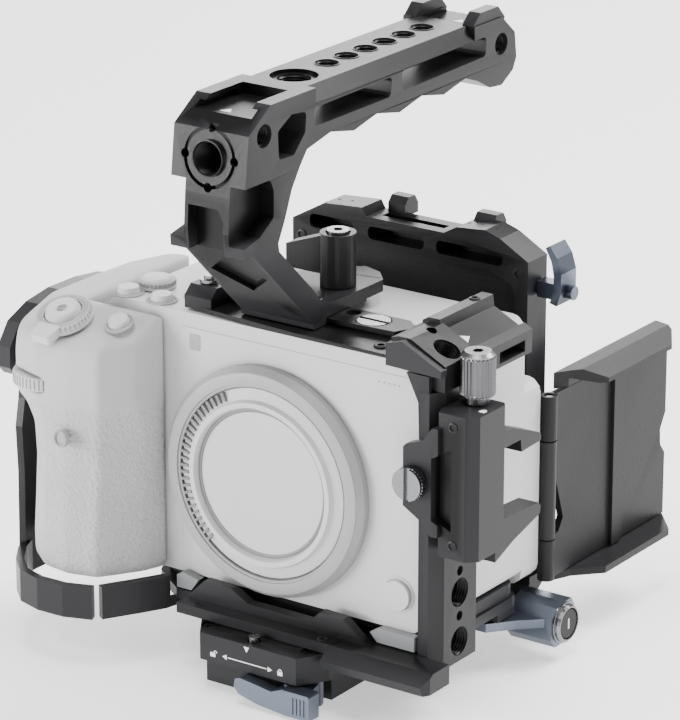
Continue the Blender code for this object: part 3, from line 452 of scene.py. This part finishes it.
def handle_details():
    """Threads, marks, screw and lever ribs of the top handle."""
    x = HANDLE_MIDDLE
    for index in range(6):
        thread(f"row_thread_{index}", (x, 26.5 + index * 9.1, HANDLE_TOP), UP, QUARTER_TAP, 3.2, "handle")
    thread("top_thread", (x, 11.4, 145.35), UP, 4.6, 4.2, "handle")
    thread("face_thread", (x, -27.2, 132.7), (0, -1, 0.05), 4.5, 8, "handle", pitch=0.8)
    for side in (1, -1):
        edge = x + side * HANDLE_SIDE
        for label, y in (("front", -18.6), ("rear", 94.2)):
            thread(f"side_thread_{label}_{side}", (edge, y, 138.6), (side, 0, 0), QUARTER_TAP, 3.4,
                   "handle")
    flat("front_triangle", (x - 0.5, -17.5, 143.2), UP, TRIANGLE, PRINT,
         "handle", 0.06, 0.05, REAR)
    flat("rear_triangle", (x + 2, 88, 145.0), UP, TRIANGLE, PRINT,
         "handle", 0.06, 0.05, REAR)
    hex_screw("foot_screw", (7.4, 11.4, 84.95), UP, 1.9, "handle", BLACK, 0.5)
    flat("foot_groove", (1.5, 33.8, 84.95), UP, [(-9.5, -0.35), (9.5, 3.05), (9.5, 2.45), (-9.5, -0.95)],
         DARK, "handle", 0.03, 0.05, REAR)
    for index in range(7):
        flat(f"lever_rib_{index}", (-8.4 + index * 0.95, 24.5, 92.6 + index * 0.12), FRONT,
             slab(0.2, 2.4), BLACK, "handle_lever", 0.25, 0.1)


def shoe_details():
    """Threads, screws and marks of the corner shoe, the side plate and the top bar."""
    thread("corner_thread", (52.9, 6.5, 81.15), SHOE_SLOPE, 3.9, 4.0, "cage", pitch=0.8)
    flat("corner_triangle", (51.2, 18.5, 80.65), SHOE_SLOPE, [(-1.5, -1.2), (1.5, -1.2), (0, 1.6)], PRINT,
         "cage", 0.06, 0.3, REAR)
    for height in (12.1, -2.1):
        thread(f"side_thread_{height:.0f}", (55.9, 9.3, height), RIGHT, 4.1, 3.4, "cage", pitch=0.8)
    thread("side_thread_small", (55.9, 9.3, 24), RIGHT, 2.6, 2.6, "cage")
    hex_screw("shoe_screw_front", (44.0, 33.5, 86.2), UP, 1.6, "cage", BLACK, 0.35)
    hex_screw("bar_screw", (34.2, 3.4, 79.3), UP, 2.0, "cage", BLACK, 0.45)


def back_details():
    """Dots and screws of the tilting back plate, dots and collar of the blue hinge, and the button's mark.
    """
    for x, z in ((-28.5, 91.85), (-24, 93.45), (-19.5, 93.75), (20, 94.3), (24.5, 94.7), (29, 94.75)):
        flat(f"back_dot_{x:.0f}", (x, 67.5, z), UP, circle(0.45, 12), DARK, "back_plate", 0.06, 0.9,
             REAR)
    for x, z in ((-33.8, 82.5), (39.2, 84.4), (39.2, 6), (-33.8, 6)):
        hex_screw(f"back_screw_{x:.0f}_{z:.0f}", (x, 62.6, z), FRONT, 1.7, "back_plate", BLACK, 0.35)
    for index in range(3):
        flat(f"hinge_dot_{index}", (59.6, 53.6 + index * 1.9, -7.6), RIGHT, circle(0.38, 12),
             PRINT, "cage", 0.05, 0.05)
    radial("hinge_collar", (59.6, *TILT_AXIS), RIGHT,
           [(6.0, -0.1), (6.0, 0.35), (5.7, 0.5), (5.0, 0.5), (4.7, 0.2)],
           STEEL, "cage", 48, ends="looped")
    flat("button_mark", (61.2, 57, -12.5), RIGHT, slab(0.3, 1.5),
         PRINT, "release_button", 0.05, 0.05)


def clamp_details():
    """Knurled knob, slotted screw rim, seams and marks of the cable clamp."""
    radial("knob_knurl", (62, 7.7, 70.6), UP,
           [("teeth", 4.52, -0.1), ("teeth", 4.85, 0.25)] +
           [("teeth", 4.85 - 0.12 * (index % 2), 0.25 + index * 0.62) for index in range(1, 17)] +
           [("teeth", 4.85, 10.4), ("teeth", 4.52, 10.8)], KNURL, "clamp_knob", 56)
    radial("screw_rim", (50.7, -6.4, 47.5), FRONT,
           [("teeth", 4.7, -0.4), ("teeth", 4.7, 1.6), (4.4, 1.8), (4.3, -0.4)], STEEL, "thumbscrew", 60,
           ends="looped")
    padlock("clamp_lock", (66.8, 3.2, 67.9), UP, 2.2, "cage", up=REAR)
    for label, height in (("high", 64.4), ("low", 31.2)):
        hex_screw(f"clamp_screw_{label}", (62, -4, height), FRONT, 1.5, "cage", BLACK, 0.3)
    flat("clamp_seam", (68.76, 4.6, 47.6), RIGHT, [(-5.0, -17), (-4.6, -17), (-4.6, 17), (-5.0, 17)], DARK,
         "cage", 0.03, 0.05)
    for name, low, body in (("upper", 51.2, "clamp_upper"), ("lower", 30.6, "cage")):
        for index in range(3):
            flat(f"jaw_rib_{name}_{index}", (62, 34.1, low + index * 0.7 - 0.7), REAR,
                 slab(3, 0.15), BLACK, body, 0.35, 0.3)


def base_details():
    """Marks, screws and bores of the quick-release base and the floor plate."""
    flat("slide_arrow_shaft", (5.2, QR_FRONT, -11.6), FRONT, slab(6.5, 0.14), PRINT, "cage", 0.05, 0.05)
    for side in (1, -1):
        flat(f"slide_arrow_head_{side}", (5.2 + side * 6.9, QR_FRONT, -11.6), FRONT,
             [(0, -0.75), (side * 1.5, 0), (0, 0.75)], PRINT, "cage", 0.05, 0.05)
    padlock("base_lock", (16.2, QR_FRONT, -11.5), FRONT, 2.0, "cage")
    padlock("base_unlock", (-6.4, QR_FRONT, -11.5), FRONT, 2.0, "cage", True)
    for x, y in ((-11.4, -12.2), (21.7, -11.7)):
        hex_screw(f"base_screw_{x:.0f}", (x, y, -7.1), UP, 2.5, "cage", BLACK, 0.3)
    flat("slide_mark", (5, QR_FRONT, -7.8), FRONT, [(-0.9, 0.9), (0.9, 0.9), (0, -0.7)], PRINT,
         "cage", 0.05, 0.05)
    for x in (-20, 22):
        hex_screw(f"fence_screw_{x}", (x + 2, -9.2, -3.05), UP, 1.5, "cage", BLACK, 0.25)
    thread("tripod_thread_front", (6, 2, -22.35), DOWN, QUARTER_TAP, 4.2, "cage")
    thread("tripod_thread_rear", (6, 38, -22.35), DOWN, 4.7, 4.2, "cage", pitch=1.0)
    for index in range(4):
        flat(f"qr_rib_{index}", (22.6 + index * 1.2, -21.4, -18.6), FRONT,
             slab(0.22, 2.4), BLUE, "qr_lever", 0.25, 0.1)


def camera_details():
    """Ribs, dials, seams, lamp window and fine controls of the camera."""
    radial("mount_step", (0, -3.95, LENS_HEIGHT), FRONT,
           [(31.4, -0.1), (31.4, 0.25), (30.6, 0.5), (28.4, 0.5), (28.2, -0.1)],
           SHELL_DARK, "cage", 96, ends="looped")
    radial("mount_throat", (0, -3.6, LENS_HEIGHT), FRONT,
           [(27.7, -2.0), (27.7, 0.2), (27.3, 0.5), (27.2, -2.0)], RING_DARK, "cage", 96, ends="looped")
    radial("cap_rim", (0, -3.6, LENS_HEIGHT), FRONT,
           [(21.3, -0.1), (21.3, 0.2), (20.9, 0.35), (20.4, 0.2), (20.2, -0.1)],
           RING_DARK, "body_cap", 96, ends="looped")
    for index in range(26):
        turn = math.radians(118 + index * 4.4)
        at = (25.7 * math.cos(turn), -4.0, LENS_HEIGHT + 25.7 * math.sin(turn))
        flat(f"cap_rib_{index}", at, FRONT, slab(0.35, 1.3),
             RING_DARK, "body_cap", 0.7, 0.3, (math.cos(turn), 0, math.sin(turn)))
    flat("lamp_window", (-24.9, 0, 69.6), FRONT, [(-1.5, -2.3), (1.5, -2.3), (1.8, -1.9), (1.8, 1.9),
                                                      (1.5, 2.3), (-1.5, 2.3), (-1.8, 1.9), (-1.8, -1.9)],
         SHELL_DARK, "cage", 0.12, 0.05)
    radial("release_button_ring", (42.5, 0, 11.5), FRONT,
           [(5.1, -0.1), (5.1, 0.25), (4.5, 0.3), (4.4, -0.1)], SHELL, "cage", 40, ends="looped")
    radial("grip_button", (-54.0, -23.4, 42.4), (-0.1, -1, 0.1),
           [(2.5, -1.2), (2.5, 0.1), (2.2, 0.3), (1.8, 0.1), (1.7, -0.3)],
           SHELL_DARK, "cage", 32)
    radial("front_dial_ribs", (-65.5, -13.6, 54.5), UP,
           [("teeth", 9.6, -0.2), ("teeth", 9.95, 0.1), ("teeth", 9.95, 3.0), ("teeth", 9.6, 3.3)],
           SHELL_DARK, "front_dial", 96, ends="looped")
    radial("rear_dial_ribs", (-47.4, 12.6, 79.0), UP,
           [("teeth", 5.45, -0.1), ("teeth", 5.45, 1.0), (4.6, 1.35)], SHELL_DARK, "rear_dial", 60)
    radial("rear_dial_hub", (-47.4, 12.6, 80.9), UP,
           [(3.2, -0.1), (3.2, 0.1), (2.6, 0.25), (1.8, 0.05), (1.2, 0.25)],
           SHELL, "rear_dial", 40)
    radial("zoom_collar", above(LEVER_CENTRE, 3.1), DECK,
           [("teeth", 7.5, -2.4), ("teeth", 7.9, -2.2), ("teeth", 7.9, 0.1), (7.2, 0.45), (5.9, 0.45),
            (5.7, 0.0)], SHELL_DARK, "zoom_lever", 72, ends="looped")
    radial("shutter_cap", above(LEVER_CENTRE, 4.55), DECK,
           [(4.4, -0.1), (4.2, 0.25), (3.0, 0.15), (1.5, 0.05)], SHELL, "shutter_button", 40)
    radial("deck_ring", above(DECK_BUTTON, 0.9), DECK, [(4.2, -0.3), (4.2, 0.2), (3.6, 0.4), (3.3, 0.0)],
           SHELL_DARK, "cage", 40, ends="looped")
    buttons = (("left", -50.5, 3.8, 3.3), ("middle", -39, 3.9, 3.3), ("right", -33.2, 12.8, 3.0))
    for name, x, y, reach in buttons:
        radial(f"button_ring_{name}", (x, y, 77.8), UP,
               [(reach + 1.1, -0.1), (reach + 1.1, 0.3), (reach + 0.7, 0.5), (reach + 0.3, 0.1)],
               SHELL_DARK, "cage", 40, ends="looped")
        radial(f"button_face_{name}", (x, y, 79.65), UP,
               [(reach * 0.84, -0.1), (reach * 0.78, 0.12), (reach * 0.4, 0.05)], SHELL,
               f"button_{name}", 36)
    for index in range(5):
        flat(f"speaker_{index}", (36 + index * 1.6, 0, 70.8), FRONT, circle(0.35, 10), SHELL_DARK, "cage",
             0.05, 0.05)
    flat("front_seam", (8, 0, 73.6), FRONT, slab(37, 0.13), SHELL_DARK,
         "cage", 0.03, 0.05)


add_camera()
add_studio()
finish_cad_nodes()
soften_grip()
handle_details()
shoe_details()
back_details()
clamp_details()
base_details()
camera_details()
